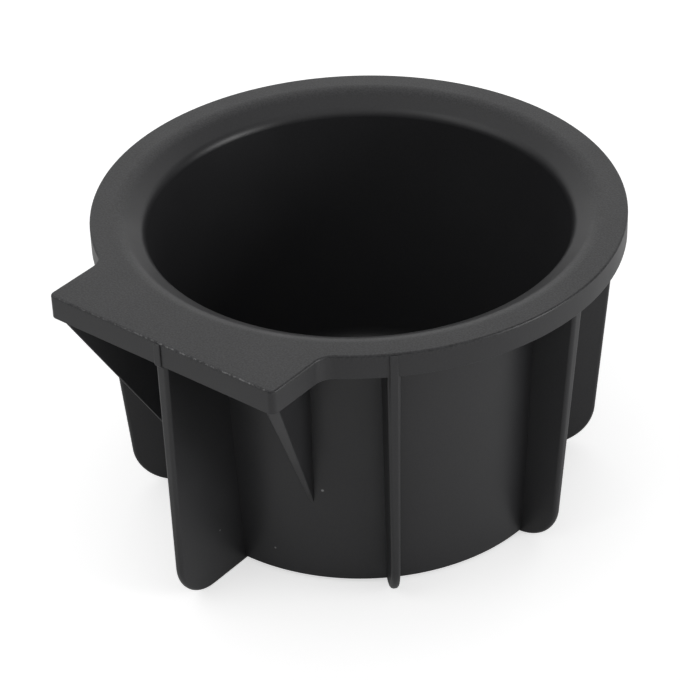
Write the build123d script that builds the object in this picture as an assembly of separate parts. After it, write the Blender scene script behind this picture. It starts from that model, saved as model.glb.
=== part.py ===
"""Drop-in cup holder for a car console: one plastic moulding with a funnel rim, a locating tab and fins.

The origin is the centre of the cup's base, on the axis of the bore. +Z is up and the tab points along -Y.
The fins stand a little below the base, so their feet are what the holder rests on.
"""
import os
from math import atan2, degrees, hypot, radians, sqrt, tan

from build123d import *

# Cup, in millimetres and degrees
BORE_DIAMETER = 79.6        # at the mouth, just below the funnel lip
HEIGHT = 58.7               # base to rim
WALL_THICKNESS = 1.5
WALL_DRAFT = 3.15           # degrees that the wall leans outwards
FLOOR_THICKNESS = 2.5
FLOOR_CORNER = 4.0          # round between floor and bore

# Rim: a flat land, and the funnel lip that leads a cup into the bore
FLANGE_THICKNESS = 4.8
LAND_WIDTH = 5.5
LIP_WIDTH = 4.7
LIP_DEPTH = 2.9
LIP_BEND = 5.3              # round between land and lip
LIP_ROUND = 2.5             # round between lip and bore
EDGE_BREAK = 0.3            # upper edge of rim and tab

# Locating tab, flush with the rim
TAB_WIDTH = 51.7
TAB_PROJECTION = 6.4        # beyond the rim
TAB_CORNER = 1.2
TAB_BLEND = 4.0             # hollow round where the tab's sides leave the rim

# Stiffening fins round the cup, one of them under the middle of the tab
FIN_COUNT = 8
FIN_TOP_THICKNESS = 2.5
FIN_FOOT_THICKNESS = 1.6
FIN_DROP = 1.0              # feet below the base
FIN_SETBACK = 0.45          # outer edge behind the edge of rim or tab, just under the flange
FIN_LEAN = 4.3              # outer edge nearer the axis at the foot than at the flange
FIN_CORNER = 8.8            # round between outer edge and foot
FIN_EDGE_BREAK = 0.4
FIN_ROOT_ROUND = 0.5        # hollow round between fin and wall
FIN_ROOT_SINK = 0.01        # depth of the round's two edges under fin and wall
FIN_ROOT_RISE = 0.2         # lower end of the round above the base
TAB_FIN_LEAN = 0.1          # the same lean, on the fin under the tab

# Some fins carry on up the flange's edge as a low rib
RIBBED_FINS = (0, 1)        # counted from the tab towards +X
RIB_WIDTH = 1.5
RIB_PROUD = 0.3             # beyond the edge of rim or tab
RIB_RUN = 12.0              # length below the flange over which the rib rises from the fin
TAB_RIB_RUN = 0.8           # the same length, on the fin under the tab
RIB_DROP = 0.3              # top of the rib below the rim

# Gussets, from under the tab's front corners down to the wall
GUSSET_DEPTH = 35.6
GUSSET_SETBACK = 1.5        # behind the tab's corner
GUSSET_INSET = 0.8          # its middle from the tab's corner, towards the tab's middle
GUSSET_TOP_THICKNESS = 2.6
GUSSET_TIP_THICKNESS = 0.9

# Working values
JOIN = 1.0                  # how far a feature reaches into the one that carries it
SAME_PLACE = 0.1            # points nearer than this are taken as one

# Places that follow from those sizes
UNDERSIDE = HEIGHT - FLANGE_THICKNESS
INTO_FLANGE = UNDERSIDE + JOIN
MOUTH_HEIGHT = HEIGHT - LIP_DEPTH
BORE_RADIUS = BORE_DIAMETER / 2
LIP_RADIUS = BORE_RADIUS + LIP_WIDTH
RIM_RADIUS = LIP_RADIUS + LAND_WIDTH
TAB_REACH = RIM_RADIUS + TAB_PROJECTION
TAB_CORNER_RADIUS = hypot(TAB_WIDTH / 2, TAB_REACH)
TAB_START = sqrt(RIM_RADIUS ** 2 - (TAB_WIDTH / 2) ** 2)
FIN_STEP = 360 / FIN_COUNT
FIN_HEIGHT = UNDERSIDE + FIN_DROP
FIN_REACH = RIM_RADIUS - FIN_SETBACK
TAB_FIN_REACH = TAB_REACH - FIN_SETBACK


def wall_radius(height):
    """Outer radius of the drafted wall at a height."""
    return BORE_RADIUS + WALL_THICKNESS - tan(radians(WALL_DRAFT)) * (MOUTH_HEIGHT - height)


def bore_radius(height):
    """Inner radius of the drafted wall at a height."""
    return wall_radius(height) - WALL_THICKNESS


def fin_half(height):
    """Half the thickness of a fin at a height."""
    gain = (FIN_TOP_THICKNESS - FIN_FOOT_THICKNESS) / FIN_HEIGHT
    return (FIN_FOOT_THICKNESS + gain * (height + FIN_DROP)) / 2


def turned(points, rounds):
    """Solid turned about the cup's axis from a half section, with its seam midway between two fins."""
    section = make_face(FilletPolyline(*points, radius=rounds, close=True))
    return Rot(0, 0, FIN_STEP / 2) * revolve(Plane.XZ * section, Axis.Z)


def cup():
    """The drafted cup, still solid."""
    points = [(0, 0), (wall_radius(0), 0), (wall_radius(INTO_FLANGE), INTO_FLANGE), (0, INTO_FLANGE)]
    return turned(points, [0, 0, 0, 0])


def plate(side_view, low_half, low, high_half, high):
    """Radial plate along +X with the given side view, its thickness drafted between two heights."""
    slab = extrude(Plane.XZ * side_view, max(low_half, high_half), both=True)
    corners = [(-low_half, low), (low_half, low), (high_half, high), (-high_half, high)]
    front_view = make_face(Polyline(*corners, close=True))
    return slab & extrude(Plane.YZ * front_view, TAB_CORNER_RADIUS)


def around(solid, angle):
    """Turns a solid made along +X to an angle from the tab, positive towards +X."""
    return Rot(0, 0, angle - 90) * solid


def flange():
    """Rim and tab as one flat plate, with hollow rounds between them."""
    tab = Pos(0, -TAB_REACH / 2) * Rectangle(TAB_WIDTH, TAB_REACH)
    outline = Circle(RIM_RADIUS) + tab
    front = [corner for corner in outline.vertices() if abs(corner.Y + TAB_REACH) < SAME_PLACE]
    outline = fillet(front, TAB_CORNER)
    inner = [corner for corner in outline.vertices() if abs(corner.Y + TAB_START) < SAME_PLACE]
    outline = fillet(inner, TAB_BLEND)
    solid = extrude(Pos(0, 0, UNDERSIDE) * outline, FLANGE_THICKNESS)
    upper = solid.faces().sort_by(Axis.Z)[-1]
    return chamfer(upper.edges(), EDGE_BREAK)


def fin(reach, lean):
    """Fin along +X: it meets the flange at reach, leans in to its foot and has a round lower corner."""
    foot = -FIN_DROP
    inside = min(bore_radius(0), reach - lean - FIN_CORNER)
    points = [
        (inside, foot),
        (reach - lean, foot),
        (reach, UNDERSIDE),
        (reach, INTO_FLANGE),
        (inside, INTO_FLANGE),
    ]
    side_view = make_face(FilletPolyline(*points, radius=[0, FIN_CORNER, 0, 0, 0], close=True))
    blade = plate(side_view, fin_half(foot), foot, fin_half(INTO_FLANGE), INTO_FLANGE)
    outline = [edge for edge in blade.edges() if is_fin_outline(edge, inside)]
    return chamfer(outline, FIN_EDGE_BREAK)


def is_fin_outline(edge, inside):
    """True for the edges of a fin's two sides along its foot, corner and outer edge."""
    middle = edge.center()
    along_side = abs(middle.Y) > SAME_PLACE
    return along_side and middle.X > inside + SAME_PLACE and middle.Z < UNDERSIDE


def fin_root(side):
    """Hollow round between the wall and one side of a fin along +X, as a bar that leans with them."""
    low = root_centre(FIN_ROOT_RISE, side)
    high = root_centre(INTO_FLANGE, side)
    across = Plane(origin=low, x_dir=(1, 0, 0), z_dir=high - low)
    stock = FIN_ROOT_ROUND + JOIN
    corner = Pos(-stock / 2, -side * stock / 2) * Rectangle(stock, stock)
    return extrude(across * (corner - Circle(FIN_ROOT_ROUND)), (high - low).length)


def root_centre(height, side):
    """Centre of the hollow round at a height, sunk towards the corner that it fills."""
    across = fin_half(height) + FIN_ROOT_ROUND
    along = sqrt((wall_radius(height) + FIN_ROOT_ROUND) ** 2 - across ** 2)
    return Vector(along - FIN_ROOT_SINK, side * (across - FIN_ROOT_SINK), height)


def edge_rib(reach, lean, run):
    """Low rib along +X that rises from a fin's outer edge and crosses the edge of the flange."""
    start = UNDERSIDE - run
    top = HEIGHT - RIB_DROP
    flush = reach - lean * run / FIN_HEIGHT
    back = flush - JOIN
    front = reach + FIN_SETBACK + RIB_PROUD
    points = [(back, start), (flush, start), (front, UNDERSIDE), (front, top), (back, top)]
    side_view = make_face(Polyline(*points, close=True))
    return extrude(Plane.XZ * side_view, RIB_WIDTH / 2, both=True)


def gusset():
    """Triangular gusset along +X, between the underside of the tab's corner and the wall."""
    reach = TAB_CORNER_RADIUS - GUSSET_SETBACK
    tip = UNDERSIDE - GUSSET_DEPTH
    inside = bore_radius(tip)
    points = [
        (inside, tip),
        (wall_radius(tip), tip),
        (reach, UNDERSIDE),
        (reach, INTO_FLANGE),
        (inside, INTO_FLANGE),
    ]
    side_view = make_face(Polyline(*points, close=True))
    return plate(side_view, GUSSET_TIP_THICKNESS / 2, tip, GUSSET_TOP_THICKNESS / 2, INTO_FLANGE)


def hollow():
    """The bore and funnel lip, with the open space above the rim."""
    beyond = TAB_CORNER_RADIUS + JOIN
    above = HEIGHT + JOIN
    points = [
        (0, FLOOR_THICKNESS),
        (bore_radius(FLOOR_THICKNESS), FLOOR_THICKNESS),
        (BORE_RADIUS, MOUTH_HEIGHT),
        (LIP_RADIUS, HEIGHT),
        (beyond, HEIGHT),
        (beyond, above),
        (0, above),
    ]
    return turned(points, [0, FLOOR_CORNER, LIP_ROUND, LIP_BEND, 0, 0, 0])


def holder():
    """The whole moulding."""
    plain_fin = fin(FIN_REACH, FIN_LEAN)
    tab_fin = fin(TAB_FIN_REACH, TAB_FIN_LEAN)
    fins = [around(tab_fin, 0)]
    fins += [around(plain_fin, FIN_STEP * place) for place in range(1, FIN_COUNT)]
    two_roots = fin_root(-1) + fin_root(1)
    roots = [around(two_roots, FIN_STEP * place) for place in range(FIN_COUNT)]
    gusset_angle = degrees(atan2(TAB_WIDTH / 2 - GUSSET_INSET, TAB_REACH))
    gussets = [around(gusset(), side * gusset_angle) for side in (-1, 1)]
    body = cup() + [flange()] + fins + roots + gussets - hollow()
    for place in RIBBED_FINS:
        on_tab = place == 0
        reach = TAB_FIN_REACH if on_tab else FIN_REACH
        lean = TAB_FIN_LEAN if on_tab else FIN_LEAN
        run = TAB_RIB_RUN if on_tab else RIB_RUN
        body += around(edge_rib(reach, lean, run), FIN_STEP * place)
    return body


def main():
    os.makedirs("parts", exist_ok=True)
    body = holder()
    export_step(body, "parts/holder_body.step")
    size = body.bounding_box().size
    print(f"holder_body: {len(body.solids())} solid, {body.volume:.0f} mm3")
    print(f"{size.X:.1f} x {size.Y:.1f} x {size.Z:.1f} mm")


main()
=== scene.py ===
# %% [markdown]
# # A car cup holder, moulded in black plastic
#
# The holder is one injection moulding: a cup with a funnel rim, a flat locating tab and fins round the outside.
# It drops into a recess in a car's console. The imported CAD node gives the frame, the place and the main sizes. This
# script makes the moulding again with the true rounds that light shows up, and gives it the grain of a real tool.

from math import atan2, cos, hypot, pi, radians, sin, sqrt, tan

import bmesh
import bpy
import numpy as np
from mathutils import Matrix, Vector


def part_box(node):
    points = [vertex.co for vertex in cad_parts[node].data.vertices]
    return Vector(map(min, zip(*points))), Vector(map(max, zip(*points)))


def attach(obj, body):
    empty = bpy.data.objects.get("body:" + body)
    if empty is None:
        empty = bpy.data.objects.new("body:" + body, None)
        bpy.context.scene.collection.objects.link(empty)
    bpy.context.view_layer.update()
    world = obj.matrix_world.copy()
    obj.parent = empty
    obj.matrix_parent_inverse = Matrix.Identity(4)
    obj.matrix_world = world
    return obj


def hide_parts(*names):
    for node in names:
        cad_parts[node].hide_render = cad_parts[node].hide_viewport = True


MM = 0.001


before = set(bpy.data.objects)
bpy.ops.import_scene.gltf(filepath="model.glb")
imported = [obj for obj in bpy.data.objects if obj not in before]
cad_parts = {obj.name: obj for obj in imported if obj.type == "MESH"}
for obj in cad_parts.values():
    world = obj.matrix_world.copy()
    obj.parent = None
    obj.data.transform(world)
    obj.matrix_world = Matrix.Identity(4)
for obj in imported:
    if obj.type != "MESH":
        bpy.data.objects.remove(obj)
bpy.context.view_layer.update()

# %% [markdown]
# ## Sizes taken from the frame
#
# The cup's base is at height zero and the tab points along -Y. The top of the box is the rim, its bottom the fins'
# feet, its back the edge of the rim, and its front a low rib on the tab. These sizes could be typed in, but taken
# from the node they stay right when the solid is resized. All sizes below are in millimetres, and the meshes are made
# in metres.

# %% Sizes that the CAD box gives
node_low, node_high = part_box("holder_body")
RIM_TOP = node_high.z / MM
FOOT_LEVEL = node_low.z / MM
RIM_RADIUS = node_high.y / MM
RIB_PROUD = 0.3
TAB_REACH = -node_low.y / MM - RIB_PROUD
print(f"rim top {RIM_TOP:.2f}, feet {FOOT_LEVEL:.2f}, rim radius {RIM_RADIUS:.2f}, tab reach {TAB_REACH:.2f}")

# %% [markdown]
# ## One way to make every closed form
#
# The body, the fins and the gussets can all be seen as a stack of loops with the same number of points.
# Each loop is joined to the next by four-sided faces, and the first and last are filled. So one function makes them
# all, and a second one rounds the corners of a section before it is stacked.

# %% Shells from loops, and rounded sections
def shell(name, loops):
    """Closed mesh object from loops of points in millimetres."""
    loops = np.array(loops)
    rows, columns = loops.shape[:2]
    index = np.arange(rows * columns).reshape(rows, columns)
    beside = np.roll(index, -1, axis=1)
    quads = np.stack([index[:-1], beside[:-1], beside[1:], index[1:]], axis=-1).reshape(-1, 4)
    faces = quads.tolist() + [index[0].tolist(), index[-1].tolist()]
    mesh = bpy.data.meshes.new(name)
    mesh.from_pydata((loops.reshape(-1, 3) * MM).tolist(), [], faces)
    work = bmesh.new()
    work.from_mesh(mesh)
    bmesh.ops.recalc_face_normals(work, faces=work.faces)
    work.to_mesh(mesh)
    work.free()
    made = bpy.data.objects.new(name, mesh)
    bpy.context.scene.collection.objects.link(made)
    print(f"{name}: {rows} loops of {columns} points")
    return made


def rounded(points, radii, steps=8):
    """Points of a section whose corners are rounded; a radius of zero keeps the corner."""
    points = np.array(points, float)
    made = []
    for place, (corner, radius) in enumerate(zip(points, radii)):
        if radius == 0:
            made.append(corner)
            continue
        before = points[place - 1] - corner
        after = points[(place + 1) % len(points)] - corner
        before = before / np.linalg.norm(before)
        after = after / np.linalg.norm(after)
        half = np.arccos(before @ after) / 2
        centre = corner + (before + after) / np.linalg.norm(before + after) * radius / sin(half)
        first = corner + before * radius / tan(half) - centre
        last = corner + after * radius / tan(half) - centre
        turn = pi - 2 * half
        for share in np.linspace(0, 1, steps + 1):
            made.append(centre + (sin((1 - share) * turn) * first + sin(share * turn) * last) / sin(turn))
    return np.array(made)


def arc(centre, radius, start, end, steps):
    """Points on an arc, without its last one, so that the next run of points can begin there."""
    turn = np.radians(np.linspace(start, end, steps, endpoint=False))
    return np.stack([centre[0] + radius * np.cos(turn), centre[1] + radius * np.sin(turn)], axis=1)

# %% [markdown]
# ## The outline of rim and tab
#
# Seen from above, the flange is a circle with a straight tab that grows out of it. The tab's front corners are
# nearly sharp, and its sides meet the circle in hollow rounds, where molten plastic flows better and no crack starts.
# A Bevel modifier could round the upper edge, but it works badly on the untidy edges that joining leaves. So the
# outline itself can be set in by a small distance, always with the same number of points, and the round is stacked
# from such loops.

# %% Outline of the flange
TAB_WIDTH = 51.7
TAB_CORNER = 1.2
TAB_BLEND = 4.0
FRONT_STEPS = 14
CORNER_STEPS = 8
SIDE_STEPS = 5
RIM_STEPS = 64


def flange_outline(inset):
    """Outline set in by a distance, anticlockwise from the middle of the tab's front."""
    half = TAB_WIDTH / 2
    hollow_x = half + TAB_BLEND
    hollow_y = sqrt((RIM_RADIUS + TAB_BLEND) ** 2 - hollow_x ** 2)
    leaves_rim = np.degrees(atan2(hollow_y, hollow_x))
    front_x = np.linspace(0, half - TAB_CORNER, FRONT_STEPS, endpoint=False)
    side_y = np.linspace(TAB_REACH - TAB_CORNER, hollow_y, SIDE_STEPS, endpoint=False)
    right = np.concatenate([
        np.stack([front_x, np.full(FRONT_STEPS, TAB_REACH - inset)], axis=1),
        arc((half - TAB_CORNER, TAB_REACH - TAB_CORNER), TAB_CORNER - inset, 90, 0, CORNER_STEPS),
        np.stack([np.full(SIDE_STEPS, half - inset), side_y], axis=1),
        arc((hollow_x, hollow_y), TAB_BLEND + inset, 180, 180 + leaves_rim, CORNER_STEPS),
        arc((0, 0), RIM_RADIUS - inset, leaves_rim, -90, RIM_STEPS),
        [(0, inset - RIM_RADIUS)],
    ])
    left = right[-2:0:-1] * (-1, 1)
    return np.concatenate([right, left]) * (1, -1)


outline = flange_outline(0)
column_angles = np.arctan2(outline[:, 1], outline[:, 0])
print(f"{len(outline)} points round the flange")


def level(flat_points, height):
    """Loop of flat points at a height."""
    return np.column_stack([flat_points, np.full(len(flat_points), height)])


def ring(radius, height):
    """Round loop whose points stand at the same angles as those of the outline."""
    return level(radius * np.stack([np.cos(column_angles), np.sin(column_angles)], axis=1), height)

# %% [markdown]
# ## Cup, funnel lip and flange
#
# The bore widens upwards by about three degrees, the draft that lets the moulding leave its tool. A conical lip
# leads a cup into it, with a soft bend to the flat land of the rim. A Screw modifier could turn the cup, but not the
# tab. So the section is walked from the middle of the floor up the bore, over the lip and the land, round the
# flange's edge, and down the wall to the base, and round loops change to the outline with the tab on the way.

# %% The body
BORE_RADIUS = 79.6 / 2
WALL_THICKNESS = 1.5
WALL_DRAFT = radians(3.15)
FLOOR_THICKNESS = 2.5
FLOOR_CORNER = 4.0
LIP_WIDTH = 4.7
LIP_DEPTH = 2.9
LIP_BEND = 5.3
LIP_ROUND = 2.5
FLANGE_THICKNESS = 4.8
FLANGE_EDGE_ROUND = 0.4
FLANGE_EDGE_STEPS = 5
WALL_TOP_ROUND = 0.3
SMALL_ROUND = 0.15
SMALL_ROUND_STEPS = 3
MOUTH = RIM_TOP - LIP_DEPTH
UNDERSIDE = RIM_TOP - FLANGE_THICKNESS


def wall_radius(height):
    """Outer radius of the drafted wall."""
    return BORE_RADIUS + WALL_THICKNESS - tan(WALL_DRAFT) * (MOUTH - height)


def body_loops():
    """Loops from the floor of the bore to the base."""
    lip_radius = BORE_RADIUS + LIP_WIDTH
    floor_radius = wall_radius(FLOOR_THICKNESS) - WALL_THICKNESS
    inner = [
        (0, FLOOR_THICKNESS),
        (floor_radius, FLOOR_THICKNESS),
        (BORE_RADIUS, MOUTH),
        (lip_radius, RIM_TOP),
        (RIM_RADIUS, RIM_TOP),
    ]
    loops = [ring(*point) for point in rounded(inner, [0, FLOOR_CORNER, LIP_ROUND, LIP_BEND, 0])[1:-1]]
    for turn in np.linspace(0, pi / 2, FLANGE_EDGE_STEPS + 1):
        inset = FLANGE_EDGE_ROUND * (1 - sin(turn))
        loops.append(level(flange_outline(inset), RIM_TOP - FLANGE_EDGE_ROUND * (1 - cos(turn))))
    for turn in np.linspace(0, pi / 2, SMALL_ROUND_STEPS + 1):
        inset = SMALL_ROUND * (1 - cos(turn))
        loops.append(level(flange_outline(inset), UNDERSIDE + SMALL_ROUND * (1 - sin(turn))))
    outer = [(RIM_RADIUS, UNDERSIDE), (wall_radius(UNDERSIDE), UNDERSIDE), (wall_radius(0), 0), (0, 0)]
    loops += [ring(*point) for point in rounded(outer, [0, WALL_TOP_ROUND, SMALL_ROUND, 0], steps=4)[1:-1]]
    return loops


body = shell("body", body_loops())

# %% [markdown]
# ## Fins, gussets and ribs as plates
#
# Each of them is a thin plate that stands on edge. Its side view is an outline, its thickness grows upwards by the
# draft, and a small round runs along its edge. A box with a Bevel modifier would do for a straight plate, but a fin's
# side view leans and has one large round. So the plate is stacked from loops too, and its outline is set in a little
# for each step of the round.

# %% A plate with a rounded edge
def set_in(outline, distance):
    """Outline of a closed anticlockwise polygon, moved inwards."""
    along = np.roll(outline, -1, axis=0) - outline
    along = along / np.linalg.norm(along, axis=1)[:, None]
    inward = np.stack([-along[:, 1], along[:, 0]], axis=1)
    before = np.roll(inward, 1, axis=0)
    share = 1 + np.sum(inward * before, axis=1)
    return outline + distance * (inward + before) / share[:, None]


def plate(name, outline, half_at, edge_round, steps):
    """Plate along +X with a side view in x and z, and half its thickness as a function of height."""
    loops = []
    for side in (1, -1):
        turns = np.linspace(pi / 2, 0, steps + 1)
        for turn in turns if side > 0 else turns[::-1]:
            flat = set_in(outline, edge_round * (1 - cos(turn)))
            across = side * (half_at(flat[:, 1]) - edge_round * (1 - sin(turn)))
            loops.append(np.stack([flat[:, 0], across, flat[:, 1]], axis=1))
    return shell(name, loops)

# %% [markdown]
# ## Fins
#
# Eight fins stiffen the cup and centre it in its recess. Their outer edges lean in towards the foot and end in a
# large round, so that the holder finds its way in. The fin under the tab reaches further out and stands upright. All
# feet stand one millimetre below the base. The fins are sunk a little into wall and flange, so that nothing gapes
# when they are joined. Their roots stay sharp, because a round there would catch the light as a bright line.

# %% Fin outlines
FIN_SETBACK = 0.45
FIN_LEAN = 4.3
TAB_FIN_LEAN = 0.1
FIN_CORNER = 8.8
FIN_EDGE_ROUND = 0.7
FIN_EDGE_STEPS = 6
FIN_TOP_HALF = 2.5 / 2
FIN_FOOT_HALF = 1.6 / 2
SUNK = 1.0
INTO_FLANGE = UNDERSIDE + SUNK


def fin_half(height):
    """Half the thickness of a fin."""
    share = (height - FOOT_LEVEL) / (UNDERSIDE - FOOT_LEVEL)
    return FIN_FOOT_HALF + (FIN_TOP_HALF - FIN_FOOT_HALF) * share


def fin(name, reach, lean):
    """Fin along +X; its side view runs from the inner end of the foot outwards and up."""
    inner_end = wall_radius(0) - 2 * SUNK
    points = [
        (inner_end, FOOT_LEVEL),
        (reach - lean, FOOT_LEVEL),
        (reach, UNDERSIDE),
        (reach, INTO_FLANGE),
        (wall_radius(INTO_FLANGE) - SUNK, INTO_FLANGE),
        (wall_radius(0) - SUNK, SUNK),
        (inner_end, SUNK),
    ]
    side_view = rounded(points, [0, FIN_CORNER, 0, 0, 0, 0, 0], steps=24)
    return plate(name, side_view, fin_half, FIN_EDGE_ROUND, FIN_EDGE_STEPS)


plain_fin = fin("plain_fin", RIM_RADIUS - FIN_SETBACK, FIN_LEAN)
tab_fin = fin("tab_fin", TAB_REACH - FIN_SETBACK, TAB_FIN_LEAN)

# %% [markdown]
# ## Gussets and ribs
#
# Two triangular gussets hold up the tab's front corners. They are thick under the tab and thin at the tip, and the
# plate function makes them from five points. On two fins, the edge carries on over the edge of the flange as a low
# rib. It could be part of the fin's outline, but it is narrower than the fin, so it is a plate of its own.

# %% Gusset and rib plates
GUSSET_DEPTH = 35.6
GUSSET_SETBACK = 1.5
GUSSET_REACH = hypot(TAB_WIDTH / 2, TAB_REACH) - GUSSET_SETBACK
GUSSET_TIP = UNDERSIDE - GUSSET_DEPTH
GUSSET_TIP_HALF = 0.9 / 2
GUSSET_TOP_HALF = 2.6 / 2
GUSSET_EDGE_ROUND = 0.3
RIB_HALF = 1.5 / 2
RIB_DROP = 0.3
RIB_RUN = 12.0
TAB_RIB_RUN = 0.8
RIB_EDGE_ROUND = 0.2
SMALL_EDGE_STEPS = 4


def gusset_half(height):
    """Half the thickness of a gusset."""
    share = (height - GUSSET_TIP) / GUSSET_DEPTH
    return GUSSET_TIP_HALF + (GUSSET_TOP_HALF - GUSSET_TIP_HALF) * share


def rib_half(height):
    """Half the width of a rib, the same at all heights."""
    return np.full(np.shape(height), RIB_HALF)


def edge_rib(name, reach, lean, run):
    """Rib along +X that rises from a fin's edge and crosses the flange."""
    start = UNDERSIDE - run
    flush = reach - lean * run / (UNDERSIDE - FOOT_LEVEL)
    front = reach + FIN_SETBACK + RIB_PROUD
    top = RIM_TOP - RIB_DROP
    side_view = np.array([
        (flush - SUNK, start),
        (flush, start),
        (front, UNDERSIDE),
        (front, top),
        (flush - SUNK, top),
    ])
    return plate(name, side_view, rib_half, RIB_EDGE_ROUND, SMALL_EDGE_STEPS)


gusset_side = np.array([
    (wall_radius(GUSSET_TIP) - SUNK, GUSSET_TIP),
    (wall_radius(GUSSET_TIP), GUSSET_TIP),
    (GUSSET_REACH, UNDERSIDE),
    (GUSSET_REACH, INTO_FLANGE),
    (wall_radius(INTO_FLANGE) - SUNK, INTO_FLANGE),
])
gusset = plate("gusset", gusset_side, gusset_half, GUSSET_EDGE_ROUND, SMALL_EDGE_STEPS)
rib = edge_rib("rib", RIM_RADIUS - FIN_SETBACK, FIN_LEAN, RIB_RUN)
tab_rib = edge_rib("tab_rib", TAB_REACH - FIN_SETBACK, TAB_FIN_LEAN, TAB_RIB_RUN)

# %% [markdown]
# ## A pattern round the axis
#
# One fin is made once and repeated at even steps, as the tool's fin cavities are. Copies placed by a loop in Python
# would look the same, but a node tree keeps the rule in one place: it takes a count, the angle of the first copy and
# the step. The same tree also sets the two gussets, with a step from one tab corner to the other.

# %% Node helper and pattern tree
def add(tree, kind, inputs=None, **settings):
    """Adds a node; settings are its properties, inputs are values or output sockets by name or index."""
    made = tree.nodes.new(kind)
    for key, value in settings.items():
        setattr(made, key, value)
    for key, value in (inputs or {}).items():
        if isinstance(value, bpy.types.NodeSocket):
            tree.links.new(value, made.inputs[key])
        else:
            made.inputs[key].default_value = value
    return made


def pattern_tree():
    """Geometry Nodes tree that repeats a mesh round the vertical axis, and its inputs' identifiers."""
    tree = bpy.data.node_groups.new("repeat round the axis", "GeometryNodeTree")
    kinds = {
        "Geometry": "Geometry",
        "Count": "Int",
        "First angle": "Float",
        "Step": "Float",
        "Material": "Material",
    }
    identifiers = {
        name: tree.interface.new_socket(name, in_out="INPUT", socket_type="NodeSocket" + kind).identifier
        for name, kind in kinds.items()
    }
    tree.interface.new_socket("Geometry", in_out="OUTPUT", socket_type="NodeSocketGeometry")
    given = add(tree, "NodeGroupInput").outputs
    points = add(tree, "GeometryNodePoints", {"Count": given["Count"]})
    index = add(tree, "GeometryNodeInputIndex").outputs[0]
    angle = add(tree, "ShaderNodeMath", {
        0: index, 1: given["Step"], 2: given["First angle"],
    }, operation="MULTIPLY_ADD")
    turn = add(tree, "ShaderNodeCombineXYZ", {"Z": angle.outputs[0]})
    copies = add(tree, "GeometryNodeInstanceOnPoints", {
        "Points": points.outputs[0], "Instance": given["Geometry"], "Rotation": turn.outputs[0],
    })
    real = add(tree, "GeometryNodeRealizeInstances", {0: copies.outputs[0]})
    finished = add(tree, "GeometryNodeSetMaterial", {"Geometry": real.outputs[0], "Material": given["Material"]})
    add(tree, "NodeGroupOutput", {0: finished.outputs[0]})
    return tree, identifiers


pattern, pattern_inputs = pattern_tree()
print(f"{pattern.name}: {len(pattern.nodes)} nodes")

# %% [markdown]
# ## The copies
#
# Each piece gets the tree as a modifier with its own count and angles, and is then turned into a plain mesh, because
# the shells are joined next. The gussets' middles stand a little nearer to the tab's middle than its corners do.

# %% Fins, gussets and ribs in place
FIN_COUNT = 8
FIN_STEP = 360 / FIN_COUNT
GUSSET_INSET = 0.8
GUSSET_ANGLE = np.degrees(atan2(TAB_WIDTH / 2 - GUSSET_INSET, TAB_REACH))
plastic = bpy.data.materials.new("black moulded ABS")


def as_plain_mesh(made):
    """Replaces an object's mesh by the result of its modifiers."""
    depsgraph = bpy.context.evaluated_depsgraph_get()
    made.data = bpy.data.meshes.new_from_object(made.evaluated_get(depsgraph), depsgraph=depsgraph)
    made.modifiers.clear()


def repeat(made, count, first, step):
    """Repeats a piece made along +X; angles are counted from the tab towards +X, in degrees."""
    modifier = made.modifiers.new("pattern", "NODES")
    modifier.node_group = pattern
    modifier[pattern_inputs["Count"]] = count
    modifier[pattern_inputs["First angle"]] = radians(first - 90)
    modifier[pattern_inputs["Step"]] = radians(step)
    modifier[pattern_inputs["Material"]] = plastic
    as_plain_mesh(made)
    print(f"{made.name}: copies {count}, faces {len(made.data.polygons)}")
    return made


shells = [
    repeat(plain_fin, FIN_COUNT - 1, FIN_STEP, FIN_STEP),
    repeat(tab_fin, 1, 0, 0),
    repeat(gusset, 2, -GUSSET_ANGLE, 2 * GUSSET_ANGLE),
    repeat(rib, 1, FIN_STEP, 0),
    repeat(tab_rib, 1, 0, 0),
]

# %% [markdown]
# ## One moulding
#
# Plastic fills one cavity, so the shells are joined into one closed skin. Shells that only overlap would look much
# the same, but they keep faces inside each other. The rounds stay smooth, real corners stay sharp, and the large
# faces keep their own direction, so that light breaks only on the rounds.

# %% Join the shells
SAME_POINT = 0.002
SHARP_ANGLE = radians(38)

holder = body
holder.name = "holder"
holder.data.materials.append(plastic)
for part in shells:
    modifier = holder.modifiers.new(part.name, "BOOLEAN")
    modifier.operation = "UNION"
    modifier.solver = "MANIFOLD"
    modifier.object = part
as_plain_mesh(holder)
for part in shells:
    bpy.data.objects.remove(part)

work = bmesh.new()
work.from_mesh(holder.data)
bmesh.ops.remove_doubles(work, verts=work.verts, dist=SAME_POINT * MM)
bmesh.ops.dissolve_degenerate(work, edges=work.edges, dist=SAME_POINT * MM)
open_edges = sum(not edge.is_manifold for edge in work.edges)
volume = work.calc_volume() / MM ** 3
work.to_mesh(holder.data)
work.free()
holder.data.polygons.foreach_set("use_smooth", [True] * len(holder.data.polygons))
holder.data.set_sharp_from_angle(angle=SHARP_ANGLE)
weighted = holder.modifiers.new("normals", "WEIGHTED_NORMAL")
weighted.keep_sharp = True
weighted.weight = 100
as_plain_mesh(holder)
print(f"holder: {len(holder.data.polygons)} faces, {open_edges} open edges, {volume:.0f} cubic millimetres")

# %% [markdown]
# ## Exact normals on the cones
#
# Joining the shells cuts the wall into long thin faces, and averaged normals then show as faint streaks in a glossy
# skin. More faces would only make the streaks finer. The wall and the bore are plain cones, so their true direction
# is known at every point and is written into the corners.

# %% Normals of wall and bore
ON_CONE = 0.03
CONE_SPREAD = radians(4)


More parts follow.
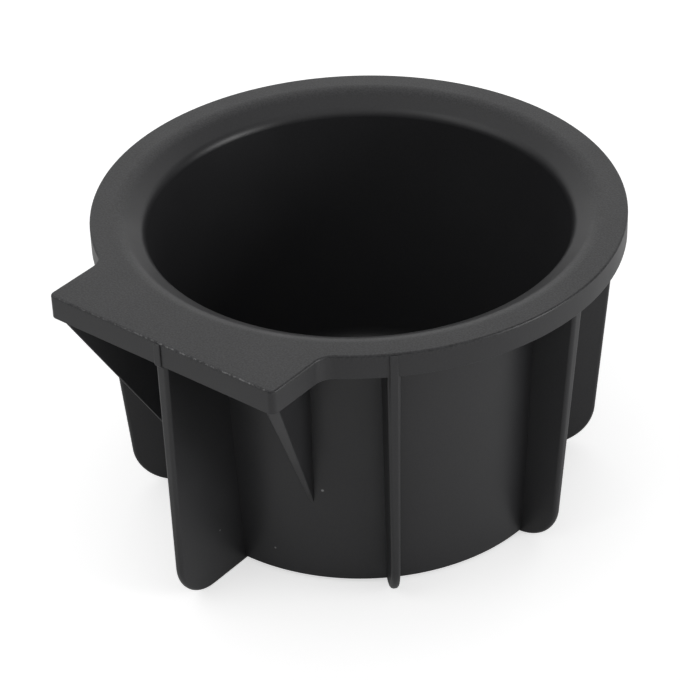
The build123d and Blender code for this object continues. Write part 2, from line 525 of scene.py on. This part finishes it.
def cone_normals(mesh):
    """Gives the corners on the two drafted cones the cones' own normals, and counts them."""
    corners = np.empty(len(mesh.loops), int)
    mesh.loops.foreach_get("vertex_index", corners)
    points = np.empty(3 * len(mesh.vertices))
    mesh.vertices.foreach_get("co", points)
    points = points.reshape(-1, 3)[corners] / MM
    normals = np.empty(3 * len(mesh.loops))
    mesh.corner_normals.foreach_get("vector", normals)
    normals = normals.reshape(-1, 3)
    flat = np.repeat([face.normal for face in mesh.polygons], [face.loop_total for face in mesh.polygons], axis=0)
    radius = np.hypot(points[:, 0], points[:, 1])
    away = points[:, :2] / radius[:, None]
    changed = 0
    for depth, way in ((0, 1), (WALL_THICKNESS, -1)):
        cone = way * level(away * cos(WALL_DRAFT), -sin(WALL_DRAFT))
        near = np.abs(radius + depth - wall_radius(points[:, 2])) < ON_CONE
        alike = np.sum(flat * cone, axis=1) > cos(CONE_SPREAD)
        normals = np.where((near & alike)[:, None], cone, normals)
        changed += int(np.sum(near & alike))
    mesh.normals_split_custom_set(normals.tolist())
    return changed


print(f"{cone_normals(holder.data)} corners follow the cones")

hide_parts("holder_body")
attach(holder, "root")

# %% [markdown]
# ## Black ABS, moulded in a grained tool
#
# The plastic is ABS, coloured right through with carbon black. Its skin copies the tool. The tool's face for the top
# of rim and tab was spark-eroded, which leaves an even field of tiny pits, while the walls and fins, which are out of
# sight in a car, came from plain ground steel. To the eye that gives a near-black that is never mirror-bright: a soft
# grey sheen where the room is reflected, with a fine sparkle on top. A flat colour would miss that sparkle, and a
# picture of plastic would stretch over the fins, so the grain is noise in the object's own coordinates, strong near
# the top and weak below.
#
# The real pits are about a tenth of a millimetre, which is too fine to show at this size. They are drawn at a third
# of a millimetre, the size at which the photograph shows its sparkle.

# %% Colour of the plastic and its grain
GRAIN_SIZE = 0.33
PIT_DEPTH = 0.025
FULL_GRAIN_WITHIN = 0.2  # of the rim's top
WEAK_GRAIN_FROM = 1.2    # below the rim's top
WEAK_GRAIN = 0.2         # share of the grain that is left there


def linear(hex_colour):
    """Linear colour of an sRGB hex colour."""
    parts = [int(hex_colour[start:start + 2], 16) / 255 for start in (0, 2, 4)]
    return [v / 12.92 if v <= 0.04045 else ((v + 0.055) / 1.055) ** 2.4 for v in parts] + [1.0]


plastic.use_nodes = True
skin = plastic.node_tree
shader = skin.nodes["Principled BSDF"]
position = add(skin, "ShaderNodeTexCoord").outputs["Object"]
axes = add(skin, "ShaderNodeSeparateXYZ", {0: position}).outputs
grain = add(skin, "ShaderNodeTexNoise", {
    "Vector": position, "Scale": 1 / (GRAIN_SIZE * MM), "Detail": 2.0, "Roughness": 0.6,
}).outputs["Fac"]
show_face = add(skin, "ShaderNodeMapRange", {
    "Value": axes["Z"], "To Min": WEAK_GRAIN, "To Max": 1.0,
    "From Min": (RIM_TOP - WEAK_GRAIN_FROM) * MM, "From Max": (RIM_TOP - FULL_GRAIN_WITHIN) * MM,
}).outputs[0]
contrast = add(skin, "ShaderNodeMapRange", {
    "Value": grain, "From Min": 0.35, "From Max": 0.65, "To Min": -0.5, "To Max": 0.5,
})
speckle = add(skin, "ShaderNodeMath", {0: contrast.outputs[0], 1: show_face, 2: 0.5}, operation="MULTIPLY_ADD")
black = add(skin, "ShaderNodeMix", {
    0: speckle.outputs[0], 6: linear("202021"), 7: linear("3a3a3c"),
}, data_type="RGBA")
pits = add(skin, "ShaderNodeBump", {"Height": grain, "Strength": show_face, "Distance": PIT_DEPTH * MM})
print(f"grain of {GRAIN_SIZE} mm")

# %% [markdown]
# ## Sheen
#
# Moulded ABS is seldom equally dull all over. Where the melt cooled against the tool a little earlier or later, and
# where hands have rubbed it, the sheen changes in soft patches about a centimetre across. A single roughness would
# look like paint, so a second, much coarser noise moves it by a few hundredths round the value that fits the
# photograph.

# %% Patches of sheen
SHEEN_PATCH = 9.0
ROUGHNESS_LOW = 0.35
ROUGHNESS_HIGH = 0.41
patches = add(skin, "ShaderNodeTexNoise", {"Vector": position, "Scale": 1 / (SHEEN_PATCH * MM), "Detail": 1.0})
dullness = add(skin, "ShaderNodeMapRange", {
    "Value": patches.outputs["Fac"], "From Min": 0.3, "From Max": 0.7,
    "To Min": ROUGHNESS_LOW, "To Max": ROUGHNESS_HIGH,
})
print(f"sheen in patches of {SHEEN_PATCH} mm")

# %% [markdown]
# ## Scuffs, a painted highlight and dust
#
# The front upper edge of the tab is where the holder is pushed in and pulled out, and it is scuffed there. A pale,
# broken line is painted along it, strongest from the tab's middle towards +X: partly scuffs, partly a painted
# highlight where the edge's round catches the light. It could be painted on the mesh, but the distance from that
# edge, worked out in the object's coordinates, gives a narrow band without any picture, and noise breaks it up. Two
# small knocks on the edge of the next fin and a few specks of dust are round marks at fixed points, each with a reach
# over which it fades.

# %% Scuffed edge with a painted highlight
# The pale band along the tab's edge is partly scuffs and partly a painted highlight on the edge's round.
SCUFF_AND_HIGHLIGHT_REACH = 0.3
SCUFF_AND_HIGHLIGHT_LENGTH = 0.6
FULL_SHARE = 0.3         # part of a mark's reach in which it is at its palest
from_edge = add(skin, "ShaderNodeVectorMath", {
    0: position, 1: (0, TAB_REACH * MM, -RIM_TOP * MM),
}, operation="ADD")
across_edge = add(skin, "ShaderNodeVectorMath", {0: from_edge.outputs[0], 1: (0, 1, 1)}, operation="MULTIPLY")
edge_distance = add(skin, "ShaderNodeVectorMath", {0: across_edge.outputs[0]}, operation="LENGTH")
highlight_and_scuff_along_x = add(skin, "ShaderNodeMapRange", {
    "Value": axes["X"], "From Min": -12 * MM, "From Max": 2 * MM, "To Min": 0.45, "To Max": 1.0,
})
band = add(skin, "ShaderNodeMapRange", {
    "Value": edge_distance.outputs["Value"], "To Max": highlight_and_scuff_along_x.outputs[0],
    "From Min": SCUFF_AND_HIGHLIGHT_REACH * MM, "From Max": FULL_SHARE * SCUFF_AND_HIGHLIGHT_REACH * MM,
})
scuff_and_highlight_breakup = add(skin, "ShaderNodeTexNoise", {"Vector": position, "Scale": 1 / (SCUFF_AND_HIGHLIGHT_LENGTH * MM), "Detail": 4.0})
broken = add(skin, "ShaderNodeMapRange", {"Value": scuff_and_highlight_breakup.outputs["Fac"], "From Min": 0.46, "From Max": 0.68})
wear_and_edge_highlight = add(skin, "ShaderNodeMath", {0: band.outputs[0], 1: broken.outputs[0]}, operation="MULTIPLY").outputs[0]
print(f"scuffs within {SCUFF_AND_HIGHLIGHT_REACH} mm of the tab's edge")

# %% Dust and knocks
DUST = [
    ((-42.17, -12.84, RIM_TOP), 0.35),
    ((17.91, -35.08, 21.36), 0.35),
    ((1.0, -44.84, 10.43), 0.25),
    ((7.97, -37.64, 5.02), 0.25),
]
KNOCKS = [
    ((33.81, -33.81, 46.18), 0.5),
    ((33.06, -33.06, 38.93), 0.5),
]
for mark_place, reach in DUST + KNOCKS:
    away = add(skin, "ShaderNodeVectorMath", {
        0: position, 1: [v * MM for v in mark_place],
    }, operation="DISTANCE")
    mark = add(skin, "ShaderNodeMapRange", {
        "Value": away.outputs["Value"], "From Min": reach * MM, "From Max": FULL_SHARE * reach * MM,
    })
    wear_and_edge_highlight = add(skin, "ShaderNodeMath", {0: wear_and_edge_highlight, 1: mark.outputs[0]}, operation="MAXIMUM").outputs[0]
print(f"{len(DUST)} specks of dust and {len(KNOCKS)} knocks")

# %% [markdown]
# ## The finished skin
#
# Worn and dusty plastic is paler, and the same pale colour paints a highlight along the tab's front edge.
# Everything meets in one Principled shader, which is also what the export can read. The refractive index of ABS is
# close to 1.53, and 1.5 matches the sheen in the photograph. It is the same all over, so it is set on the shader's
# own socket.

# %% Shader of the skin
# Mix towards pale grey: dust, knocks and scuffs, and a painted highlight along the tab's front edge.
colour = add(skin, "ShaderNodeMix", {
    0: wear_and_edge_highlight, 6: black.outputs[2], 7: linear("a4a4a4"),
}, data_type="RGBA")
skin.links.new(colour.outputs[2], shader.inputs["Base Color"])
skin.links.new(dullness.outputs[0], shader.inputs["Roughness"])
skin.links.new(pits.outputs[0], shader.inputs["Normal"])
shader.inputs["IOR"].default_value = 1.5
print(f"{plastic.name}: {len(skin.nodes)} nodes")

# %% [markdown]
# ## A pale floor
#
# The photograph is cut out on white. The floor is a matte sheet at the height of the fins' feet. More light would
# make it white too, but it would also wash out the holder. So the sheet glows a little for the camera, which shows it
# as white and still keeps the soft shadow under the holder. Reflections get a small share of that glow.

# %% Floor
FLOOR_HALF = 2.0
FLOOR_GLOW = 0.6
GLOSS_GLOW = 0.05
floor_mesh = bpy.data.meshes.new("floor")
square = [(-1, -1), (1, -1), (1, 1), (-1, 1)]
floor_mesh.from_pydata([(FLOOR_HALF * x, FLOOR_HALF * y, FOOT_LEVEL * MM) for x, y in square], [], [(0, 1, 2, 3)])
floor = bpy.data.objects.new("floor", floor_mesh)
bpy.context.scene.collection.objects.link(floor)

paper = bpy.data.materials.new("pale matte paper")
paper.use_nodes = True
sheet = paper.node_tree
sheet.nodes.clear()
path = add(sheet, "ShaderNodeLightPath").outputs
mirrored = add(sheet, "ShaderNodeMath", {0: path["Is Glossy Ray"], 1: path["Is Transmission Ray"]}, operation="ADD")
for_gloss = add(sheet, "ShaderNodeMath", {0: mirrored.outputs[0], 1: GLOSS_GLOW}, operation="MULTIPLY")
glow = add(sheet, "ShaderNodeMath", {
    0: path["Is Camera Ray"], 1: FLOOR_GLOW, 2: for_gloss.outputs[0],
}, operation="MULTIPLY_ADD")
matte = add(sheet, "ShaderNodeBsdfDiffuse", {"Color": linear("eaeaea")})
shine = add(sheet, "ShaderNodeEmission", {"Color": linear("ffffff"), "Strength": glow.outputs[0]})
both = add(sheet, "ShaderNodeAddShader", {0: matte.outputs[0], 1: shine.outputs[0]})
add(sheet, "ShaderNodeOutputMaterial", {"Surface": both.outputs[0]})
floor_mesh.materials.append(paper)
print(f"floor {2 * FLOOR_HALF} m wide")

# %% [markdown]
# ## The room
#
# Black plastic shows the room more than its own colour. The flat rim mirrors what stands behind the holder, and it is
# the palest part of the photograph, while the lip and the fins turn to other sides and are darker. So the room is not
# equally bright: a wide bright wall stands at the back, and a smaller bright patch hangs high at the front, which
# looks down into the bore. A dot product is the cosine of the angle to a patch's middle. It gives a smooth fall-off
# from the patch's core to its edge, and the two patches are added.

# %% World
BACK_WALL = (-0.57, 0.69, 0.45)
FRONT_PATCH = (0.32, -0.38, 0.87)
PATCH_CORE = 0.97        # cosine at which a patch has its full brightness
DIM = 0.03               # what each patch adds outside its edge
world = bpy.data.worlds.new("studio")
bpy.context.scene.world = world
world.use_nodes = True
room = world.node_tree
room.nodes.clear()
direction = add(room, "ShaderNodeTexCoord").outputs["Generated"]


def bright_patch(middle, edge, brightness):
    """Strength of a patch of the room round a direction, which fades to dim where the cosine falls to edge."""
    facing = add(room, "ShaderNodeVectorMath", {0: direction, 1: middle}, operation="DOT_PRODUCT")
    return add(room, "ShaderNodeMapRange", {
        "Value": facing.outputs["Value"], "From Min": edge, "From Max": PATCH_CORE,
        "To Min": DIM, "To Max": brightness,
    }, interpolation_type="SMOOTHSTEP").outputs[0]


strength = add(room, "ShaderNodeMath", {
    0: bright_patch(BACK_WALL, 0.35, 0.8), 1: bright_patch(FRONT_PATCH, 0.5, 0.56),
}, operation="ADD")
white = add(room, "ShaderNodeBackground", {"Color": linear("ffffff"), "Strength": strength.outputs[0]})
add(room, "ShaderNodeOutputWorld", {"Surface": white.outputs[0]})
print("room brightest towards", BACK_WALL)

# %% [markdown]
# ## Lamps
#
# Two soft lamps shape the outside: one from the front left, and one low on the right, which makes the right-hand
# wall a little brighter than the left. Point lamps would leave hard shadows and sharp glints on the lip. These are
# large and far away for the size of the holder, so they cast no hard shadow.

# %% Soft lamps
def softbox(name, place, aim, width, height, watts):
    """Rectangular soft light aimed at a point."""
    light = bpy.data.lights.new(name, "AREA")
    light.shape = "RECTANGLE"
    light.size = width
    light.size_y = height
    light.energy = watts
    made = bpy.data.objects.new(name, light)
    bpy.context.scene.collection.objects.link(made)
    made.location = place
    made.rotation_euler = (Vector(aim) - Vector(place)).to_track_quat("-Z", "Y").to_euler()
    print(f"{name}: {watts} W")


middle = (0, 0, RIM_TOP * MM / 2)
softbox("left", (-0.5, -0.65, 0.75), middle, width=1.0, height=1.0, watts=2.8)
softbox("right", (0.9, 0.3, 0.25), middle, width=0.4, height=0.5, watts=3.5)

# %% [markdown]
# ## Camera
#
# The camera was found from the ellipses of rim, lip and base in the photograph, and from the tab's edges. It looks
# down by about 34 degrees with the tab at the left front, from half a metre away, with a long lens and a slight roll.
# A Track To constraint could aim it, but it can't roll, so the camera's own axes are worked out. The Standard view
# transform shows colours as they are written.

# %% Camera
AZIMUTH = radians(39.57)
ELEVATION = radians(34.27)
ROLL = radians(-2.15)
DISTANCE = 501.96
TARGET_ASIDE = -4.33
TARGET_HEIGHT = 28.14
level_right = Vector((cos(AZIMUTH), sin(AZIMUTH), 0))
back = Vector((sin(AZIMUTH) * cos(ELEVATION), -cos(AZIMUTH) * cos(ELEVATION), sin(ELEVATION)))
level_up = back.cross(level_right)
right = cos(ROLL) * level_right + sin(ROLL) * level_up
up = cos(ROLL) * level_up - sin(ROLL) * level_right
target = TARGET_ASIDE * MM * level_right + Vector((0, 0, TARGET_HEIGHT * MM))
eye = target + DISTANCE * MM * back
camera_data = bpy.data.cameras.new("camera")
camera_data.sensor_width = 36
camera_data.lens = 137.88
camera_data.clip_start = 0.01
camera = bpy.data.objects.new("camera", camera_data)
bpy.context.scene.collection.objects.link(camera)
camera.matrix_world = Matrix((
    (right.x, up.x, back.x, eye.x),
    (right.y, up.y, back.y, eye.y),
    (right.z, up.z, back.z, eye.z),
    (0, 0, 0, 1),
))
bpy.context.scene.camera = camera
bpy.context.scene.view_settings.view_transform = "Standard"
print(f"camera {DISTANCE:.0f} mm from its target, lens {camera_data.lens:.1f} mm")
